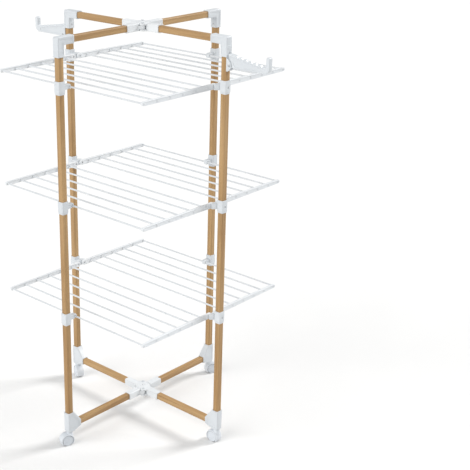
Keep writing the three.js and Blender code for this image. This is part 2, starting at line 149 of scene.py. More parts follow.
PLATE_INNER = 6.5  # hub plates start this far from the middle plane
BOSS_RADIUS = 28
LOBE_RADIUS = 11.4
WAIST_LEAN = 14
WAIST_ROUND = 9
HUB_SLEEVE_START = 30
HUB_PIN_BORE = 3.4
CORE_RADIUS = 18.4
WEB_HALF = 8.5
SHOULDER_HALF = 12
CUT_REACH = 20  # cuts through a hub run this far up and down
KNUCKLE_START = 17
KNUCKLE_BORE = 3.3
BOSS_ROOM = 2.8  # between a leaf's sleeve and the round boss
LOBE_CUT_RADIUS = 12.8
EYE_RADIUS = 9
TONGUE_HALF = 6
TONGUE_END = 38
TONGUE_SIDES = (-9, 13.5)

HINGE_GAP = 0.6  # between a rail and the lug that carries it
RAIL_THICK = 10
RAIL_ROOT = 10
RAIL_TIP = 7
RAIL_BORE = 3.3
RAIL_PANEL_DEPTH = 1.2
ROD_BOSS_RADIUS = 4.1
LAST_BOSS_RADIUS = 4.4
ROD_RADIUS = 3.2
ROD_TIP_RADIUS = 1.6
ROD_DOME = 0.9
ROD_PROUD = 0.35
ROD_COUNT = 6
ROD_PITCH = 61

ARM_LENGTH = 163
ARM_TIP_THICK = 14
ARM_TIP_TOP = 48
ARM_UNDER = 8
ARM_BEND = 20
ARM_HALF = 8
ARM_ROOT_TOP = 38
ARM_SLOPE = 24  # fall of the upper edge from root to tip
ARM_NOTCHES = 6
ARM_NOTCH_SPAN = (22, 141)
ARM_NOTCH_DEPTH = 3.4
ARM_PANEL_HALF = 6.6  # an arm's thickness between its two recesses, halved

TRAIL = 12
WHEEL_RADIUS = 20.5
HOOD_RADIUS = 26
HOOD_HALF = 15.5
HOOD_LOW = 6  # height of a hood's lower edge
HOOD_WEB_HALF = 4
WELL_RADIUS = 21.6
AXLE_BORE = 3.4
AXLE_RADIUS = 2.9

SCREW_RADIUS = 3.1
SCREW_RISE = 1.6
SCREW_SINK = 1.1  # how deep a collar screw sits in its seat
SCREW_SEAT = 3.9
SCREW_BED = 0.4  # how deep the other screws sit
ELBOW_SCREW = 14  # from the mouth of an elbow's sleeve
SOCKET_SCREW = 11
CAP_SEAT = 1.9  # the hub screw sits this far above the sleeves


# ---------------------------------------------------------------- outlines
def arc(middle, radius, start, end, steps=8):
    """Points along an arc, its angles in degrees."""
    angles = [math.radians(start + (end - start) * k / steps) for k in range(steps + 1)]
    return [(middle[0] + radius * math.cos(a), middle[1] + radius * math.sin(a)) for a in angles]


def circle(middle, radius, sides=48):
    return arc(middle, radius, 0, 360 * (1 - 1 / sides), sides - 1)


def fillet(corner_list, steps=6):
    """A closed outline from (x, y, radius) corners, each rounded to its radius."""
    outline = []
    count = len(corner_list)
    for k, (x, y, radius) in enumerate(corner_list):
        here = Vector((x, y))
        before = (Vector(corner_list[k - 1][:2]) - here).normalized()
        after = (Vector(corner_list[(k + 1) % count][:2]) - here).normalized()
        if radius == 0:
            outline.append((x, y))
            continue
        half = before.angle(after) / 2
        middle = here + (before + after).normalized() * radius / math.sin(half)
        first = here + before * radius / math.tan(half) - middle
        last = here + after * radius / math.tan(half) - middle
        start = math.degrees(math.atan2(first.y, first.x))
        sweep = (math.degrees(math.atan2(last.y, last.x)) - start + 180) % 360 - 180
        outline.extend(arc(middle, radius, start, start + sweep, steps))
    return outline


def square(width, radius, steps=5):
    half = width / 2
    quadrants = ((half, half), (-half, half), (-half, -half), (half, -half))
    return fillet([(x, y, radius) for x, y in quadrants], steps)


# ---------------------------------------------------------------- solids
LEVEL = 1e-4  # a rim rises less than this from end to end
WELD_DISTANCE = 0.02
SHARP_ANGLE = 38  # degrees, above which an edge is not shaded smooth
PLACE = {
    "x": lambda u, v, w: (w, u, v),
    "y": lambda u, v, w: (u, w, v),
    "z": lambda u, v, w: (u, v, w),
}


def loft(rings, closed=False):
    """Skins a row of rings with equal numbers of points, its ends capped unless it closes on itself."""
    bm = bmesh.new()
    rows = [[bm.verts.new(point) for point in ring] for ring in rings]
    pairs = list(zip(rows, rows[1:]))
    if closed:
        pairs.append((rows[-1], rows[0]))
    else:
        bm.faces.new(rows[0])
        bm.faces.new(rows[-1])
    for near, far in pairs:
        for k in range(len(near)):
            bm.faces.new((near[k - 1], near[k], far[k], far[k - 1]))
    bmesh.ops.recalc_face_normals(bm, faces=bm.faces)
    return bm


def prism(outline, low, high, axis="y", edge=0.0, open_end=None, segments=3):
    """An outline extruded along an axis, its rims rounded except where open_end accepts an edge's middle."""
    place = PLACE[axis]
    bm = loft([[place(u, v, w) for u, v in outline] for w in (low, high)])
    if edge:
        bm.edges.ensure_lookup_table()
        depth = Vector(place(0, 0, 1))
        rims = []
        for rim in bm.edges:
            first, last = rim.verts[0].co, rim.verts[1].co
            flat = abs((first - last).dot(depth)) < LEVEL
            if flat and not (open_end and open_end((first + last) / 2)):
                rims.append(rim)
        bmesh.ops.bevel(
            bm, geom=rims, offset=edge, segments=segments, profile=0.5, affect="EDGES", clamp_overlap=True,
        )
    return bm


def disc(radius, middle, low, high, axis="z", edge=0.0, sides=48):
    return prism(circle(middle, radius, sides), low, high, axis, edge, segments=2)


def block(x, y, z, edge=0.0, segments=3):
    bm = prism([(x[0], y[0]), (x[1], y[0]), (x[1], y[1]), (x[0], y[1])], z[0], z[1], "z")
    if edge:
        bmesh.ops.bevel(
            bm, geom=list(bm.edges), offset=edge, segments=segments, profile=0.5, affect="EDGES",
            clamp_overlap=True,
        )
    return bm


def lathe(profile, axis="z", middle=(0, 0), sides=48):
    """A profile of (radius, height) points turned round an axis; it ends on the axis or closes on itself."""
    place = PLACE[axis]
    bm = bmesh.new()
    rows = []
    for radius, height in profile:
        if radius == 0:
            rows.append([bm.verts.new(place(middle[0], middle[1], height))] * sides)
        else:
            rows.append([bm.verts.new(place(u, v, height)) for u, v in circle(middle, radius, sides)])
    pairs = list(zip(rows, rows[1:]))
    if profile[0][0] > 0:
        pairs.append((rows[-1], rows[0]))
    for near, far in pairs:
        for k in range(sides):
            face = dict.fromkeys((near[k - 1], near[k], far[k], far[k - 1]))
            bm.faces.new(list(face))
    bmesh.ops.recalc_face_normals(bm, faces=bm.faces)
    return bm


def drawn(bm):
    mesh = bpy.data.meshes.new("work")
    bm.to_mesh(mesh)
    bm.free()
    return mesh


def fuse(base, adds=(), cuts=(), edge=0.5, segments=2, angle=34):
    """One solid: a base, what is joined to it and what is cut out of it, with its sharp edges rounded."""
    link = bpy.context.scene.collection.objects.link
    target = bpy.data.objects.new("work", base if isinstance(base, bpy.types.Mesh) else drawn(base))
    link(target)
    tools = []
    for operation, shapes in (("UNION", adds), ("DIFFERENCE", cuts)):
        for shape in shapes:
            tool = bpy.data.objects.new("tool", drawn(shape))
            link(tool)
            tools.append(tool)
            modifier = target.modifiers.new("join", "BOOLEAN")
            modifier.operation = operation
            modifier.solver = "MANIFOLD"
            modifier.object = tool
    if edge:
        weld = target.modifiers.new("weld", "WELD")
        weld.merge_threshold = WELD_DISTANCE
        rounding = target.modifiers.new("edge", "BEVEL")
        rounding.width = edge
        rounding.segments = segments
        rounding.limit_method = "ANGLE"
        rounding.angle_limit = math.radians(angle)
        rounding.use_clamp_overlap = True
        rounding.miter_outer = "MITER_ARC"
    graph = bpy.context.evaluated_depsgraph_get()
    result = bpy.data.meshes.new_from_object(target.evaluated_get(graph))
    for obj in [target, *tools]:
        mesh = obj.data
        bpy.data.objects.remove(obj)
        bpy.data.meshes.remove(mesh)
    return result


def gathered(*parts):
    """Several (mesh, matrix) copies as one mesh of separate solids."""
    bm = bmesh.new()
    for mesh, matrix in parts:
        copy = mesh.copy()
        copy.transform(matrix)
        bm.from_mesh(copy)
        bpy.data.meshes.remove(copy)
    return drawn(bm)


def publish(name, mesh, body, material, turn=0.0, origin=(0, 0, 0), stands_for=()):
    """Puts a copy of a millimetre mesh in its place, gives it its finish and lets it ride on its body."""
    made = mesh.copy()
    spin = Matrix.Rotation(math.radians(turn), 4, "Z")
    made.transform(Matrix.Scale(MM, 4) @ Matrix.Translation(Vector(origin)) @ spin)
    made.name = name
    made.shade_smooth()
    made.set_sharp_from_angle(angle=math.radians(SHARP_ANGLE))
    made.materials.clear()
    made.materials.append(material)
    piece = bpy.data.objects.new(name, made)
    bpy.context.scene.collection.objects.link(piece)
    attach(piece, body)
    if stands_for:
        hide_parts(*stands_for)


# ---------------------------------------------------------------- materials
class Finish:
    """A material whose nodes are added one call at a time."""

    def __init__(self, name, **constants):
        self.material = bpy.data.materials.new(name)
        self.material.use_nodes = True
        self.nodes = self.material.node_tree.nodes
        self.links = self.material.node_tree.links
        self.shader = self.nodes["Principled BSDF"]
        for socket, value in constants.items():
            self.shader.inputs[socket.replace("_", " ")].default_value = value
        self.place = self.nodes.new("ShaderNodeTexCoord").outputs["Object"]

    def link(self, source, target):
        self.links.new(source, target)

    def stretched(self, scale):
        """The object's coordinates in metres, multiplied along each axis."""
        mapping = self.nodes.new("ShaderNodeMapping")
        mapping.inputs["Scale"].default_value = scale
        self.link(self.place, mapping.inputs["Vector"])
        return mapping.outputs["Vector"]

    def noise(self, scale, detail=2.0, roughness=0.5, distortion=0.0):
        node = self.nodes.new("ShaderNodeTexNoise")
        vector = self.stretched(scale if hasattr(scale, "__len__") else (scale,) * 3)
        node.inputs["Scale"].default_value = 1.0
        node.inputs["Detail"].default_value = detail
        node.inputs["Roughness"].default_value = roughness
        node.inputs["Distortion"].default_value = distortion
        self.link(vector, node.inputs["Vector"])
        return node.outputs["Fac"]

    def ramp(self, source, *stops):
        node = self.nodes.new("ShaderNodeValToRGB")
        elements = node.color_ramp.elements
        while len(elements) < len(stops):
            elements.new(0.5)
        for element, (position, colour) in zip(elements, stops):
            element.position = position
            element.color = (*colour, 1)
        self.link(source, node.inputs["Fac"])
        return node.outputs["Color"]

    def spread(self, source, low, high, from_low=0.3, from_high=0.7):
        node = self.nodes.new("ShaderNodeMapRange")
        node.inputs["From Min"].default_value = from_low
        node.inputs["From Max"].default_value = from_high
        node.inputs["To Min"].default_value = low
        node.inputs["To Max"].default_value = high
        self.link(source, node.inputs["Value"])
        return node.outputs["Result"]

    def blend(self, factor, first, second):
        node = self.nodes.new("ShaderNodeMix")
        node.data_type = "RGBA"
        sockets = (node.inputs[0], node.inputs[6], node.inputs[7])
        for value, socket in zip((factor, first, second), sockets):
            if isinstance(value, (tuple, float, int)):
                socket.default_value = (*value, 1) if isinstance(value, tuple) else value
            else:
                self.link(value, socket)
        return node.outputs[2]

    def sum(self, first, second, share=0.5):
        node = self.nodes.new("ShaderNodeMix")
        node.inputs[0].default_value = share
        self.link(first, node.inputs[2])
        self.link(second, node.inputs[3])
        return node.outputs[0]

    def bump(self, height, distance, strength=1.0):
        node = self.nodes.new("ShaderNodeBump")
        node.inputs["Strength"].default_value = strength
        node.inputs["Distance"].default_value = distance
        self.link(height, node.inputs["Height"])
        self.link(node.outputs["Normal"], self.shader.inputs["Normal"])

    def colour(self, source):
        self.link(source, self.shader.inputs["Base Color"])

    def roughness(self, source):
        self.link(source, self.shader.inputs["Roughness"])


def wood(axis):
    """Beech-effect foil whose grain runs along an axis."""
    finish = Finish(f"wood_foil_{axis}", IOR=1.46)

    def along(length, across):
        return tuple(length if letter == axis else across for letter in "xyz")

    broad = finish.noise(along(1.7, 62), detail=3, roughness=0.55, distortion=0.6)
    lines = finish.noise(along(5, 330), detail=4, roughness=0.62, distortion=0.25)
    pores = finish.noise(along(70, 1500), detail=2, roughness=0.5)
    cloud = finish.noise(along(3.1, 14), detail=2)
    tone = finish.ramp(
        broad,
        (0.25, (0.28, 0.152, 0.056)),
        (0.44, (0.37, 0.218, 0.088)),
        (0.58, (0.435, 0.266, 0.112)),
        (0.76, (0.52, 0.332, 0.150)),
    )
    streak = finish.spread(lines, low=0.0, high=0.62, from_low=0.50, from_high=0.70)
    fleck = finish.spread(pores, low=0.0, high=0.5, from_low=0.62, from_high=0.74)
    haze = finish.spread(cloud, low=0.0, high=0.28, from_low=0.35, from_high=0.68)
    streaked = finish.blend(streak, tone, (0.235, 0.118, 0.044))
    flecked = finish.blend(fleck, streaked, (0.18, 0.085, 0.032))
    finish.colour(finish.blend(haze, flecked, (0.58, 0.39, 0.20)))
    finish.roughness(finish.spread(lines, low=0.40, high=0.56))
    finish.bump(finish.sum(lines, pores, share=0.6), distance=0.00022, strength=0.6)
    return finish.material


SPECK_SHADE = 0.86


def moulded(name, tone, shade, rough=(0.30, 0.42)):
    """Injection-moulded plastic with a fine spark-eroded grain."""
    finish = Finish(name, IOR=1.49)
    cloud = finish.noise(9, detail=3, roughness=0.6)
    speck = finish.noise(420, detail=2)
    base = finish.blend(finish.spread(cloud, low=0.0, high=1.0, from_low=0.36, from_high=0.66), tone, shade)
    fleck = finish.spread(speck, low=0.0, high=0.10, from_low=0.55, from_high=0.75)
    finish.colour(finish.blend(fleck, base, tuple(SPECK_SHADE * channel for channel in shade)))
    finish.roughness(finish.spread(finish.noise(60, detail=3), *rough))
    grain = finish.sum(finish.noise(1500, detail=2), finish.noise(300, detail=1), share=0.35)
    finish.bump(grain, distance=0.00012, strength=0.5)
    return finish.material


def coated():
    """Epoxy-coated steel wire: smooth, with a faint orange peel."""
    finish = Finish("coated_rod", IOR=1.5, Coat_Weight=0.25, Coat_Roughness=0.18)
    cloud = finish.noise(14, detail=3)
    haze = finish.spread(cloud, low=0.0, high=1.0, from_low=0.35, from_high=0.68)
    finish.colour(finish.blend(haze, (0.67, 0.695, 0.72), (0.625, 0.652, 0.68)))
    finish.roughness(finish.spread(finish.noise(120, detail=2), low=0.24, high=0.36))
    finish.bump(finish.noise(480, detail=1.5), distance=0.00004, strength=0.5)
    return finish.material


def metal():
    """Zinc-plated steel, finely brushed."""
    finish = Finish("steel", Metallic=1.0, Anisotropic=0.3)
    hair = finish.noise((900, 900, 120), detail=3)
    finish.colour(finish.ramp(hair, (0.3, (0.40, 0.41, 0.42)), (0.7, (0.66, 0.67, 0.68))))
    finish.roughness(finish.spread(finish.noise(300, detail=2), low=0.24, high=0.40))
    finish.bump(hair, distance=0.00005, strength=0.4)
    return finish.material


def rubber():
    """Black tread, dusty in places."""
    finish = Finish("tread_rubber", IOR=1.5)
    dust = finish.noise(140, detail=4, roughness=0.65)
    finish.colour(finish.ramp(dust, (0.4, (0.018, 0.018, 0.019)), (0.75, (0.075, 0.072, 0.068))))
    finish.roughness(finish.spread(dust, low=0.55, high=0.78))
    finish.bump(finish.noise(1100, detail=2), distance=0.0002, strength=0.6)
    return finish.material


WOOD = {axis: wood(axis) for axis in "xyz"}
WHITE = moulded("white_plastic", (0.645, 0.675, 0.70), (0.61, 0.642, 0.672))
WHEEL = moulded("wheel_plastic", (0.675, 0.71, 0.755), (0.63, 0.668, 0.712), (0.36, 0.5))
HOOD_WHITE = moulded("hood_plastic", (0.68, 0.712, 0.75), (0.645, 0.68, 0.72))
HUB_WHITE = moulded("hub_plastic", (0.745, 0.768, 0.785), (0.705, 0.73, 0.748))
RAIL_WHITE = moulded("rail_plastic", (0.755, 0.78, 0.80), (0.715, 0.74, 0.765))
ROD = coated()
ENAMEL = moulded("white_enamel", (0.60, 0.63, 0.655), (0.56, 0.59, 0.62), (0.2, 0.3))
STEEL = metal()
TREAD = rubber()


# ---------------------------------------------------------------- screws and pins
def screw_shape(radius, height):
    """A pan head with a cross recess, seated on z = 0."""
    head = lathe([
        (0, -1), (radius * 0.8, -1), (radius, 0), (radius, height * 0.35), (radius * 0.88, height * 0.75),
        (radius * 0.55, height), (0, height),
    ], sides=32)
    arm, width = radius * 0.62, radius * 0.17
    cross = [
        block((-arm, arm), (-width, width), (height * 0.35, height + 1)),
        block((-width, width), (-arm, arm), (height * 0.35, height + 1)),
    ]
    return fuse(head, cuts=cross, edge=0.08, segments=1)


SCREW = screw_shape(SCREW_RADIUS, SCREW_RISE)


def facing(point, direction):
    """A matrix that seats a screw on a point, facing a direction."""
    turn = Vector((0, 0, 1)).rotation_difference(Vector(direction)).to_matrix().to_4x4()
    return Matrix.Translation(Vector(point)) @ turn


def screws(*seats):
    return gathered(*((SCREW, facing(point, direction)) for point, direction in seats))


# ---------------------------------------------------------------- wooden tubes
def tube(low, high, axis, middle):
    """A square tube with softened ends."""
    rows = [(low, TUBE_SOFT), (low + TUBE_SOFT, 0), (high - TUBE_SOFT, 0), (high, TUBE_SOFT)]
    outer = [(w, square(TUBE - 2 * inset, TUBE_CORNER - inset, 6)) for w, inset in rows]
    inner = [(w, square(TUBE - 2 * TUBE_WALL, TUBE_CORNER - TUBE_WALL, 6)) for w in (high, low)]
    place = PLACE[axis]
    rings = [
        [place(u + middle[0], v + middle[1], w) for u, v in outline]
        for w, outline in outer + inner
    ]
    return drawn(loft(rings, closed=True))


# ---------------------------------------------------------------- sleeves
def band(axis, start, middle):
    """A raised lip round the mouth of a sleeve."""
    rim = square(SLEEVE + 2 * LIP_RISE, SLEEVE_CORNER + LIP_RISE)
    outline = [(u + middle[0], v + middle[1]) for u, v in rim]
    return prism(outline, start, start + LIP_LENGTH, axis, edge=LIP_RISE, segments=2)


def pocket(axis, low, high, middle):
    """What a tube's bore cuts out of a sleeve."""
    outline = [(u + middle[0], v + middle[1]) for u, v in square(BORE, BORE_CORNER)]
    return prism(outline, low, high, axis)


def panels(outline, depth):
    """Shallow recesses of one outline in both sides of a shell."""
    cuts = []
    for side in (-1, 1):
        low, high = sorted((side * (HALF - depth), side * (HALF + PAST)))
        cuts.append(prism(outline, low, high, "y"))
    return cuts


def elbow(distance, bracket):
    """The L at the top of a post; frame A's also carry the plate and cheeks of a hanger arm."""
    top = TOP_BAR + HALF
    low = top - ELBOW_DROP
    under = top - SLEEVE
    near = distance - ELBOW_REACH
    outline = fillet([
        (distance - HALF, low, 0),
        (distance + HALF, low, 0),
        (distance + HALF, top, 6),
        (near, top, 0),
        (near, under, 0),
        (distance - HALF, under, 5),
    ])
    panel = fillet([
        (distance - PANEL_MARGIN, low + PANEL_MARGIN, 2),
        (distance + PANEL_MARGIN, low + PANEL_MARGIN, 2),
        (distance + PANEL_MARGIN, top - PANEL_MARGIN, 3),
        (near + PANEL_MARGIN, top - PANEL_MARGIN, 2),
        (near + PANEL_MARGIN, under + PANEL_MARGIN, 2),
        (distance - PANEL_MARGIN, under + PANEL_MARGIN, 3),
    ], 4)
    body = prism(
        outline, -HALF, HALF, "y", edge=SHELL_ROUND,
        open_end=lambda m: m.z < low + 0.1 or m.x < near + 0.1, segments=SHELL_STEPS,
    )
    adds = [
        band("z", low, (distance, 0)),
        band("x", near, (0, TOP_BAR)),
    ]
    cuts = [
        pocket("z", low - PAST, under + 2 * PAST, (distance, 0)),
        pocket("x", near - PAST, distance - BAR_SHORT + PAST, (0, TOP_BAR)),
        *panels(panel, ELBOW_PANEL_DEPTH),
    ]
    if bracket:
        adds += bracket_shapes(distance)
        slot_x = (distance + HALF - ARM_SLOT_DEPTH, distance + HALF + 3)
        slot_z = (ARM_PIN_Z + ARM_SLOT[0], ARM_PIN_Z + ARM_SLOT[1])
        cuts.append(disc(ARM_PIN_BORE, (distance + PIN_OUT, ARM_PIN_Z), -15, 15, "y", sides=32))
        cuts.append(block(slot_x, (-ARM_SLOT_HALF, ARM_SLOT_HALF), slot_z))
    return fuse(body, adds, cuts, edge=SHELL_EDGE)


def bracket_shapes(distance):
    """The plate on an elbow's outer face, and the two cheeks that hold an arm's pin."""
    pin_x = distance + PIN_OUT
    face = distance + TUBE / 2 + PLATE_GAP
    cheek_x = distance + HALF + CHEEK_REACH
    top = TOP_BAR + HALF
    inner, outer = CHEEKS
    plate = block(
        (face, distance + HALF + PLATE_RISE),
        (-outer, outer),
        (top - PLATE_BOTTOM, top - PLATE_TOP),
        edge=1.2,
    )
    outline = fillet([
        (face, ARM_PIN_Z - CHEEK_BELOW, 1),
        (cheek_x, ARM_PIN_Z - CHEEK_BELOW, 2),
        (pin_x + EAR, ARM_PIN_Z - EAR, EAR_ROUND),
        (pin_x + EAR, ARM_PIN_Z + EAR, EAR_ROUND),
        (cheek_x, ARM_PIN_Z + CHEEK_ABOVE, 2),
        (face, ARM_PIN_Z + CHEEK_ABOVE, 1),
    ])
    spans = ((-outer, -inner), (inner, outer))
    cheeks = [prism(outline, low, high, "y", edge=0.9, segments=2) for low, high in spans]
    return [plate, *cheeks]


def socket(distance):
    """The gusseted foot that joins a post, a lower crossbar and a castor."""
    near = distance - SOCKET_REACH
    outline = fillet([
        (distance - HALF, SOCKET_LOW, 4),
        (distance + HALF, SOCKET_LOW, 7),
        (distance + HALF, SOCKET_HIGH, 0),
        (distance - HALF, SOCKET_HIGH, 0),
        (near, BOTTOM_BAR + HALF, 0),
        (near, BOTTOM_BAR - HALF, 0),
    ])
    panel = fillet([
        (distance + 8, SOCKET_LOW + 10, 3),
        (distance + 8, SOCKET_HIGH - 11, 2),
        (distance - 9, SOCKET_HIGH - 13, 2),
        (near + 10, BOTTOM_BAR + 10, 2),
        (near + 10, SOCKET_LOW + 10, 2),
    ], 4)
    body = prism(
        outline, -HALF, HALF, "y", edge=SHELL_ROUND,
        open_end=lambda m: m.z > SOCKET_HIGH - 0.1 or m.x < near + 0.1, segments=SHELL_STEPS,
    )
    adds = [
        band("z", SOCKET_HIGH - LIP_LENGTH, (distance, 0)),
        band("x", near, (0, BOTTOM_BAR)),
        disc(SOCKET_COLLAR_RADIUS, (distance, 0), SOCKET_LOW - 0.2, SOCKET_LOW + 3, edge=0.8),
    ]
    cuts = [
        pocket("z", POST_LOW, SOCKET_HIGH + PAST, (distance, 0)),
        pocket("x", near - PAST, distance - BAR_SHORT + PAST, (0, BOTTOM_BAR)),
        disc(STEM_BORE, (distance, 0), SOCKET_LOW - PAST, POST_LOW - 4),
        *panels(panel, SOCKET_PANEL_DEPTH),
    ]
    return fuse(body, adds, cuts, edge=SHELL_EDGE)


def collar_body():
    """The tapered barrel of a collar, round the post's centre line, with rod level at zero."""
    low, high = -COLLAR_HALF, COLLAR_HALF
    profile = [
        (low, SLEEVE - 3.4),
        (low + 0.8, SLEEVE - 2.6),
        (low + 5.2, SLEEVE - 2.0),
        (low + 5.8, SLEEVE - 1.2),
        (low + 6.8, SLEEVE - 0.6),
        (low + 15, SLEEVE),
        (high - 1.4, SLEEVE),
        (high - 0.4, SLEEVE - 0.7),
        (high, SLEEVE - 2),
        (high, BORE),
        (low, BORE),
    ]
    rings = []
    for height, width in profile:
        corner = COLLAR_CORNER if width > BORE else BORE_CORNER
        rings.append([(u, v, height) for u, v in square(width, corner, 6)])
    return loft(rings, closed=True)


def hinge_collar(distance):
    """A collar with the lug that carries one end of a front and of a back wing."""
    inner = RAIL_OUT + HINGE_GAP - distance
    root = LUG_SINK - HALF
    lug = prism(fillet([
        (inner, LUG_HALF, 1.6),
        (inner, -LUG_HALF, 1.6),
        (inner + LUG_DEPTH, -LUG_HALF, 2),
        (root, -LUG_ROOT, 0),
        (root, LUG_ROOT, 0),
        (inner + LUG_DEPTH, LUG_HALF, 2),
    ], 3), -LUG_RISE, LUG_RISE, "z", edge=0.9)
    bosses = [
        disc(LUG_BOSS_RADIUS, (side * WING_PIVOT, 0.05), inner - 0.4, inner + 3, "x", edge=0.4)
        for side in (-1, 1)
    ]
    cuts = [
        disc(SCREW_SEAT, (0, 0), HALF - SCREW_SINK, HALF + 2, "x", sides=32),
        block((inner + 3, -HALF - 2), (-9, 9), (LUG_RISE - 1.1, 12)),
    ]
    return fuse(collar_body(), [lug, *bosses], cuts, edge=FINE_EDGE)


def clip_collar(distance):
    """A collar whose jaws, open downwards, hold the outermost rod of a wing."""
    rod = ROD_LAST - distance
    inner = CLIP_INNER - distance
    jaws = prism(fillet([
        (inner, -CLIP_HALF, 1.5),
        (-HALF + 1, -CLIP_HALF, 0),
        (-HALF + 1, CLIP_TOP, 0),
        (inner + 1, CLIP_TOP, 5.5),
    ], 5), -CLIP_HALF, CLIP_HALF, "y", edge=1.4)
    mouth = prism([
        (rod - 4.4, -CLIP_MOUTH),
        (rod - 3.1, -6.2),
        *arc((rod, 0.3), CLIP_BORE, 195, -15, 12),
        (rod + 3.1, -6.2),
        (rod + 4.4, -CLIP_MOUTH),
    ], -CLIP_HALF - PAST, CLIP_HALF + PAST, "y")
    return fuse(collar_body(), [jaws], [mouth], edge=FINE_EDGE)


# ---------------------------------------------------------------- hubs
def hub_plate(side):
    """The round boss, lobes and tongues above (side 1) or below (side -1) the leaf knuckles."""
    waist = fillet([
        (PIVOT + WAIST_LEAN, -PIVOT, WAIST_ROUND),
        (PIVOT, -PIVOT - WAIST_LEAN, WAIST_ROUND),
        (-PIVOT - WAIST_LEAN, PIVOT, WAIST_ROUND),
        (-PIVOT, PIVOT + WAIST_LEAN, WAIST_ROUND),
    ], 8)

    def span(inset, outset):
        return sorted((side * (PLATE_INNER + inset), side * (HALF + outset)))

    return [
        disc(BOSS_RADIUS, (0, 0), *span(0, 0.4), edge=1.8, sides=80),
        prism(waist, *span(0.2, -0.5), "z", edge=1.2, segments=2),
        disc(LOBE_RADIUS, (PIVOT, -PIVOT), *span(0.1, -0.3), edge=1.4, sides=48),
        disc(LOBE_RADIUS, (-PIVOT, PIVOT), *span(0.1, -0.3), edge=1.4, sides=48),
        block((18, 35), (-PIVOT, -10), span(0.4, -0.6), edge=0.8, segments=2),
        block((-35, -18), (10, PIVOT), span(0.4, -0.6), edge=0.8, segments=2),
        block((-34, 34), (-HALF + 0.3, HALF - 0.3), span(0.4, -0.2), edge=1.2, segments=2),
    ]


def sleeve_shape(near, far):
    """A sleeve along X with its lip at the far end."""
    low, high = sorted((near, far))
    lip = min(far, far - math.copysign(LIP_LENGTH, far))
    return [
        prism(square(SLEEVE, SLEEVE_CORNER), low, high, "x", edge=0.8, segments=2),
        band("x", lip, (0, 0)),
    ]


def hub():
    """The middle of a crossbar: both plates, the core between them and two sleeves, as one solid."""
    upper, lower = hub_plate(1), hub_plate(-1)
    dome = lathe([
        (0, HALF - 2), (13, HALF - 2), (13, HALF + 0.8), (12, HALF + 1.6), (9, HALF + 2.4), (5, HALF + 2.9),
        (4.2, HALF + 2.9), (4.2, HALF + CAP_SEAT), (0, HALF + CAP_SEAT),
    ])
    knob = lathe([
        (0, -HALF + 3), (8, -HALF + 3), (8, -HALF - 1), (7, -HALF - 2), (6.6, -HALF - 4), (5.6, -HALF - 5.6),
        (3, -HALF - 6), (0, -HALF - 6),
    ])
    core = disc(CORE_RADIUS, (0, 0), -HALF + 2, HALF - 2)
    web = block((-35, 35), (-WEB_HALF, WEB_HALF), (-HALF + 1.5, HALF - 1.5))
    shoulders = [
        block(span, (-SHOULDER_HALF, SHOULDER_HALF), (-HALF + 1.7, HALF - 1.7))
        for span in ((-36, -27), (27, 36))
    ]
    adds = [
        *upper[1:], *lower, core, web, *shoulders,
        *sleeve_shape(HUB_SLEEVE_START, SLEEVE_END),
        *sleeve_shape(-HUB_SLEEVE_START, -SLEEVE_END),
        dome, knob,
    ]
    cuts = [
        pocket("x", BAR_START - BAR_GAP, SLEEVE_END + PAST, (0, 0)),
        pocket("x", -SLEEVE_END - PAST, -BAR_START + BAR_GAP, (0, 0)),
        disc(HUB_PIN_BORE, (PIVOT, -PIVOT), -CUT_REACH, CUT_REACH, sides=32),
        disc(HUB_PIN_BORE, (-PIVOT, PIVOT), -CUT_REACH, CUT_REACH, sides=32),
    ]
    return fuse(upper[0], adds, cuts, edge=FINE_EDGE)


def knuckle():
    """A leaf's sleeve, cut back round the hub, with the eye that turns between the hub plates."""
    lean = EYE_RADIUS * math.sqrt(0.5)
    tongue = prism([
        (PIVOT - lean, PIVOT - lean),
        (TONGUE_END, TONGUE_SIDES[0]),
        (TONGUE_END, TONGUE_SIDES[1]),
        (PIVOT + lean, PIVOT + lean),
    ], -TONGUE_HALF, TONGUE_HALF, "z")
    eye = disc(EYE_RADIUS, (PIVOT, PIVOT), 0.1 - TONGUE_HALF, TONGUE_HALF - 0.1, edge=0.6)
    sleeve, lip = sleeve_shape(KNUCKLE_START, SLEEVE_END)
    shell = fuse(sleeve, [lip], [
        pocket("x", BAR_START - BAR_GAP, SLEEVE_END + PAST, (0, 0)),
        disc(BOSS_RADIUS + BOSS_ROOM, (0, 0), -CUT_REACH, CUT_REACH, sides=80),
        disc(LOBE_CUT_RADIUS, (PIVOT, PIVOT), -CUT_REACH, CUT_REACH),
    ], edge=FINE_EDGE)
    bore = disc(KNUCKLE_BORE, (PIVOT, PIVOT), -10, 10, sides=32)
    return fuse(shell, [tongue, eye], [bore], edge=0)


def hub_pin():
    """The rivet that joins a leaf's eye to the hub plates."""
    return drawn(lathe([
        (0, -HALF - 0.4), (2.2, -HALF - 0.4), (2.9, -HALF + 0.3), (2.9, HALF + 0.4), (5.5, HALF + 0.4),
        (5.5, HALF + 1.2), (4.8, HALF + 2.0), (3.0, HALF + 2.5), (0, HALF + 2.5),
    ], sides=32))


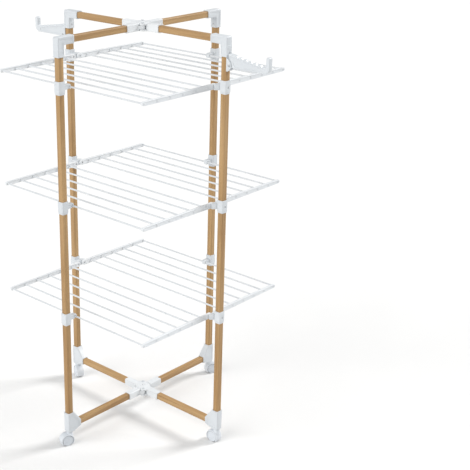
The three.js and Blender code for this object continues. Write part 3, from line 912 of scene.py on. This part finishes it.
# ---------------------------------------------------------------- wings
def rail():
    """A tapered side rail about the plane x = 0, its hinge at y = -WING_PIVOT, running along -Y."""
    half = RAIL_THICK / 2
    outline = [
        *arc((-WING_PIVOT, 0), RAIL_ROOT, 90, -90, 16),
        *arc((-ROD_LAST, 0), RAIL_TIP, 270, 90, 12),
    ]
    start, end = -WING_PIVOT - 15, -ROD_LAST + 5
    recess = fillet([
        (start, -6.6, 3),
        (start, 6.6, 3),
        (end, RAIL_TIP - 2.6, 1.5),
        (end, 2.6 - RAIL_TIP, 1.5),
    ], 5)
    body = prism(outline, -half, half, "x", edge=1.5)
    cuts = [disc(RAIL_BORE, (-WING_PIVOT, 0), -half - PAST, half + PAST, "x", sides=32)]
    for side in (-1, 1):
        low, high = sorted((side * (half - RAIL_PANEL_DEPTH), side * (half + PAST)))
        cuts.append(prism(recess, low, high, "x"))
    shell = fuse(body, cuts=cuts, edge=0.35)
    bosses = []
    for k in range(ROD_COUNT):
        radius = ROD_BOSS_RADIUS if k else LAST_BOSS_RADIUS
        middle = (-ROD_LAST + k * ROD_PITCH, 0)
        bosses.append(disc(radius, middle, 0.2 - half, half - 0.2, "x", edge=0.4, sides=32))
    return fuse(shell, bosses, edge=0)


def rods():
    """Six straight wires with domed ends, which stand just proud of the rails."""
    end = RAIL_OUT + ROD_PROUD
    wire = drawn(lathe([
        (0, -end), (ROD_TIP_RADIUS, -end), (ROD_RADIUS, -end + ROD_DOME), (ROD_RADIUS, end - ROD_DOME),
        (ROD_TIP_RADIUS, end), (0, end),
    ], axis="x", sides=24))
    places = [Matrix.Translation(Vector((0, -ROD_LAST + k * ROD_PITCH, 0))) for k in range(ROD_COUNT)]
    return gathered(*((wire, place) for place in places))


# ---------------------------------------------------------------- hanger arms
def hanger_arm():
    """A J-shaped arm, drawn from its pin at the origin, with notches for coat hangers along its top."""
    first, last = ARM_NOTCH_SPAN
    pitch = (last - first) / ARM_NOTCHES
    tip = ARM_TIP_THICK
    elbow_x = ARM_LENGTH - tip

    def top_at(x):
        return ARM_ROOT_TOP - ARM_SLOPE * x / elbow_x

    top = []
    for k in range(ARM_NOTCHES, 0, -1):
        high = first + k * pitch
        top += [
            (high - 1, top_at(high)),
            (high - pitch * 0.22, top_at(high) - 0.2),
            (high - pitch * 0.40, top_at(high) - ARM_NOTCH_DEPTH),
            (high - pitch * 0.62, top_at(high) - ARM_NOTCH_DEPTH),
            (high - pitch * 0.80, top_at(high - pitch) - 0.3),
        ]
    outline = [
        *arc((0, 0), ARM_UNDER, 180, 270, 8),
        *arc((ARM_LENGTH - ARM_BEND, ARM_BEND - ARM_UNDER), ARM_BEND, -90, 0, 10),
        *arc((ARM_LENGTH - tip / 2, ARM_TIP_TOP - tip / 2), tip / 2, 0, 180, 12),
        (elbow_x, 22),
        *arc((elbow_x - 5, 18.5), 5, 0, -75, 5),
        *top,
        (first - 2, top_at(first) + 0.4),
        *arc((-4, 34), 4, 90, 180, 5),
    ]
    recess = fillet([
        (-2, 11, 2), (12, 11, 3), (18, -2, 3), (130, -2, 3),
        (136, 5, 3), (132, 9, 3), (12, 29, 3), (-2, 31, 2),
    ], 4)
    body = prism(outline, -ARM_HALF, ARM_HALF, "y", edge=1.8)
    cuts = [disc(ARM_PIN_BORE, (0, 0), -ARM_HALF - PAST, ARM_HALF + PAST, "y", sides=32)]
    for side in (-1, 1):
        low, high = sorted((side * ARM_PANEL_HALF, side * (ARM_HALF + PAST)))
        cuts.append(prism(recess, low, high, "y"))
    return fuse(body, cuts=cuts, edge=SHELL_EDGE)


def arm_pin():
    """The rivet through an arm and its two cheeks."""
    return drawn(lathe([
        (0, -14.9), (3.4, -14.9), (4.5, -14.2), (4.5, -12.7), (2.45, -12.7), (2.45, 12.7), (4.0, 12.7),
        (4.0, 13.3), (3.0, 13.9), (0, 13.9),
    ], axis="y", sides=32))


# ---------------------------------------------------------------- castors
AXLE = (TRAIL, WHEEL_RADIUS)
AS_DRAWN = Matrix.Identity(4)


def castor_hood():
    """The housing over both wheels, drawn with its stem on the origin and its axle at x = TRAIL."""
    hood = disc(HOOD_RADIUS, AXLE, -HOOD_HALF, HOOD_HALF, "y", edge=3.2, sides=72)
    neck = lathe([
        (0, 30), (13.5, 30), (13, 40), (12, 47), (11.4, 50), (10.6, 52), (8, 52.6), (0, 52.6),
    ])
    cuts = [block((-60, 60), (-60, 60), (-60, HOOD_LOW))]
    for low, high in ((-HOOD_HALF - PAST, -HOOD_WEB_HALF), (HOOD_WEB_HALF, HOOD_HALF + PAST)):
        cuts.append(disc(WELL_RADIUS, AXLE, low, high, "y", sides=64))
    cuts.append(disc(AXLE_BORE, AXLE, -6, 6, "y", sides=32))
    return fuse(hood, [neck], cuts, edge=0.5)


def on_axle(profile, side=1, sides=72):
    """A profile turned round the axle, on one side of the hood's web or the other."""
    return drawn(lathe([(radius, side * reach) for radius, reach in profile], "y", AXLE, sides))


def castor_wheels():
    """Twin wheels with white discs, and the axle between them."""
    wheel = [
        (AXLE_RADIUS, 4.6), (17.8, 4.6), (17.8, 13.9), (20.0, 14.1), (20.2, 14.5), (19.6, 15.0),
        (17.6, 15.1), (16.8, 14.5), (10, 14.5), (8.8, 15.0), (6, 15.3), (AXLE_RADIUS, 15.3),
    ]
    cap = [(0, 14.9), (4.6, 14.9), (4.6, 15.5), (3.8, 16.1), (1.6, 16.4), (0, 16.4)]
    shaft = [(0, -14.5), (AXLE_RADIUS, -14.5), (AXLE_RADIUS, 14.5), (0, 14.5)]
    solids = [
        on_axle(wheel, 1),
        on_axle(wheel, -1),
        on_axle(cap, 1, 32),
        on_axle(cap, -1, 32),
        on_axle(shaft, 1, 32),
    ]
    return gathered(*((solid, AS_DRAWN) for solid in solids))


def castor_treads():
    """A grooved black tyre on each wheel."""
    tyre = [
        (17.9, 4.7), (20.0, 4.7), (WHEEL_RADIUS, 5.2), (WHEEL_RADIUS, 8.6), (20.1, 8.9), (20.1, 9.5),
        (WHEEL_RADIUS, 9.8), (WHEEL_RADIUS, 13.2), (20.1, 13.7), (17.9, 13.8),
    ]
    return gathered((on_axle(tyre, 1), AS_DRAWN), (on_axle(tyre, -1), AS_DRAWN))


def castor_stem():
    """The steel stem between a hood and its socket."""
    return drawn(lathe([
        (0, 51), (4.9, 51), (4.9, 52.7), (4.9, 60), (5.2, 61),
        (5.2, 62.5), (4.8, 63.5), (3.6, 64.6), (0, 64.6),
    ], sides=32))


# ---------------------------------------------------------------- assembly of the stand
HOOD, WHEELS, TREADS, STEM = castor_hood(), castor_wheels(), castor_treads(), castor_stem()
COLLARS = {"hinge": hinge_collar(DISTANCE_A), "clip": clip_collar(DISTANCE_B)}
COLLAR_SCREW = screws(((HALF - SCREW_SINK, 0, 0), (1, 0, 0)))
ELBOWS = {DISTANCE_A: elbow(DISTANCE_A, True), DISTANCE_B: elbow(DISTANCE_B, False)}
SOCKETS = {distance: socket(distance) for distance in (DISTANCE_A, DISTANCE_B)}
KNUCKLE = knuckle()
ARM, ARM_PIN = hanger_arm(), arm_pin()
LEVELS = (("top", TOP_BAR), ("bottom", BOTTOM_BAR))


def grain(side):
    return WOOD["x" if side.startswith("a_") else "y"]


def outward(side, reach, height=0.0):
    """A point on a quarter's outward line, in the frame."""
    angle = math.radians(TURNS[side])
    return (reach * math.cos(angle), reach * math.sin(angle), height)


def frame_screws(distance):
    """The screws that hold a post and its two crossbars in their sleeves."""
    bed = SCREW_BED - HALF
    return screws(
        ((distance + bed, 0, TOP_BAR + HALF - ELBOW_DROP + ELBOW_SCREW), (-1, 0, 0)),
        ((distance - ELBOW_REACH + ELBOW_SCREW, 0, TOP_BAR + bed), (0, 0, -1)),
        ((distance - SOCKET_REACH + SOCKET_SCREW, 0, BOTTOM_BAR + bed), (0, 0, -1)),
    )


def build_quarter(side):
    """Every piece of one quarter: post, crossbars, elbow, socket, collars, castor and, on A, an arm."""
    turn, distance = TURNS[side], DISTANCES[side]
    fixed = side.startswith("a_")
    body = BODY_OF[f"post_{side}"]

    def own(name, mesh, material, node=None, origin=(0, 0, 0)):
        stands_for = [node] if node else []
        publish(name, mesh, BODY_OF[node] if node else body, material, turn, origin, stands_for)

    post = tube(POST_LOW, POST_HIGH, "z", (distance, 0))
    own(f"post_tube_{side}", post, WOOD["z"], f"post_{side}")
    for level, height in LEVELS:
        bar = tube(BAR_START, distance - BAR_SHORT, "x", (0, height))
        own(f"{level}_crossbar_tube_{side}", bar, grain(side), f"{level}_crossbar_{side}")
        if not fixed:
            node = f"{level}_knuckle_{side}"
            place = (0, 0, height)
            own(f"{level}_knuckle_shell_{side}", KNUCKLE, HUB_WHITE, node, place)
    own(f"top_elbow_shell_{side}", ELBOWS[distance], WHITE, f"top_elbow_{side}")
    own(f"corner_socket_shell_{side}", SOCKETS[distance], WHITE, f"corner_socket_{side}")
    own(f"frame_screws_{side}", frame_screws(distance), STEEL)
    for tier in TIERS:
        kind = "hinge" if fixed else "clip"
        node = f"{kind}_collar_{side}_{tier}"
        height = TIER_HEIGHTS[tier]
        place = outward(side, distance, height)
        own(f"{kind}_collar_shell_{side}_{tier}", COLLARS[kind], WHITE, node, place)
        if fixed:
            own(f"collar_screw_{side}_{tier}", COLLAR_SCREW, STEEL, None, place)
    castor = f"castor_housing_{side}"
    wheels = f"castor_wheels_{side}"
    away = centre(wheels) - centre(f"post_{side}")
    trail = math.degrees(math.atan2(away.y, away.x))
    place = outward(side, distance)
    housed, rolling = BODY_OF[castor], BODY_OF[wheels]
    publish(f"castor_hood_{side}", HOOD, housed, HOOD_WHITE, trail, place, [castor])
    publish(f"castor_stem_{side}", STEM, housed, STEEL, trail, place)
    publish(f"castor_discs_{side}", WHEELS, rolling, WHEEL, trail, place, [wheels])
    publish(f"castor_treads_{side}", TREADS, rolling, TREAD, trail, place)
    if fixed:
        place = outward(side, ARM_PIN_X, ARM_PIN_Z)
        own(f"hanger_arm_shell_{side}", ARM, WHITE, f"hanger_arm_{side}", place)
        own(f"arm_rivet_{side}", ARM_PIN, STEEL, f"arm_pin_{side}", place)


for quarter in TURNS:
    build_quarter(quarter)

HUB = hub()
HUB_PIN = hub_pin()
HUB_SCREW = screws(((0, 0, HALF + CAP_SEAT), (0, 0, 1)))
for level, height in LEVELS:
    hub_body = BODY_OF[f"{level}_hub"]
    place = (0, 0, height)
    publish(f"{level}_hub_shell", HUB, hub_body, HUB_WHITE, 0, place, [f"{level}_hub"])
    publish(f"{level}_hub_screw", HUB_SCREW, hub_body, STEEL, 0, place)
    for leaf, sign in (("front", 1), ("back", -1)):
        node = f"{level}_hub_pin_{leaf}"
        place = (sign * PIVOT, -sign * PIVOT, height)
        publish(f"{level}_hub_rivet_{leaf}", HUB_PIN, BODY_OF[node], ENAMEL, 0, place, [node])

RAIL, RODS = rail(), rods()
RAIL_CENTRE = RAIL_OUT - RAIL_THICK / 2
for half, turn in (("front", 0), ("back", 180)):
    for tier in TIERS:
        node = f"wing_{half}_{tier}"
        height = TIER_HEIGHTS[tier]
        body = BODY_OF[node]
        place = (0, 0, height)
        publish(f"rods_{half}_{tier}", RODS, body, ROD, turn, place, [node])
        for end, sign in (("right", 1), ("left", -1)):
            name = f"wing_rail_{half}_{end}_{tier}"
            place = (sign * RAIL_CENTRE, 0, height)
            publish(name, RAIL, body, RAIL_WHITE, turn, place)

# ---------------------------------------------------------------- camera, floor and light
RIGHT = Vector((1, 1, 0)).normalized()
AWAY = Vector((-1, 1, 0)).normalized()


def stand(across, away, height):
    """A place in metres: across to the viewer's right, away from the viewer, and up."""
    return RIGHT * across + AWAY * away + Vector((0, 0, height))


def aim(obj, place, direction):
    obj.location = place
    obj.rotation_mode = "QUATERNION"
    obj.rotation_quaternion = direction.to_track_quat("-Z", "Y")


CAMERA_PLACE = stand(-0.0469, -3.8387, 2.1832)
CAMERA_PITCH = math.radians(20.75)
CAMERA_YAW = math.radians(0.97)
CAMERA_LENS = 83.57
CAMERA_SHIFT = 0.1857  # keeps the stand left of the middle of the picture
camera_data = bpy.data.cameras.new("camera")
camera_data.sensor_width = 36
camera_data.lens = CAMERA_LENS
camera_data.shift_x = CAMERA_SHIFT
camera_data.clip_end = 100
camera = bpy.data.objects.new("camera", camera_data)
bpy.context.scene.collection.objects.link(camera)
bpy.context.scene.camera = camera
look = stand(
    math.sin(CAMERA_YAW) * math.cos(CAMERA_PITCH),
    math.cos(CAMERA_YAW) * math.cos(CAMERA_PITCH),
    -math.sin(CAMERA_PITCH),
)
aim(camera, CAMERA_PLACE, look)

FLOOR_HALF = 40000
floor_mesh = drawn(block((-FLOOR_HALF, FLOOR_HALF), (-FLOOR_HALF, FLOOR_HALF), (-20, 0)))
floor_mesh.transform(Matrix.Scale(MM, 4))
floor = bpy.data.objects.new("floor", floor_mesh)
bpy.context.scene.collection.objects.link(floor)
paper = Finish("paper_floor", Roughness=0.9)
haze = paper.spread(paper.noise(2), low=0, high=1)
paper.colour(paper.blend(haze, (0.83, 0.83, 0.826), (0.815, 0.815, 0.812)))
floor_mesh.materials.append(paper.material)


def studio_light(name, across, away, elevation, strength, softness, tint):
    """A wide, distant softbox, seen from the stand in a direction across and away from the viewer."""
    data = bpy.data.lights.new(name, "SUN")
    data.energy = strength
    data.angle = math.radians(softness)
    data.color = tint
    light = bpy.data.objects.new(name, data)
    bpy.context.scene.collection.objects.link(light)
    rise = math.tan(math.radians(elevation))
    direction = stand(across, away, rise * math.hypot(across, away))
    aim(light, direction, -direction)


studio_light("side_light", 0.94, 0.34, 37, 2.3, 18, (1, 0.99, 0.98))
studio_light("front_light", -0.84, -0.54, 34, 1.9, 50, (1, 0.99, 0.975))

world = bpy.data.worlds.new("studio")
bpy.context.scene.world = world
world.use_nodes = True
sky = world.node_tree.nodes["Background"].inputs
sky["Color"].default_value = (0.975, 0.988, 1, 1)
sky["Strength"].default_value = 0.50
bpy.context.scene.view_settings.view_transform = "Standard"
bpy.context.scene.view_settings.look = "None"
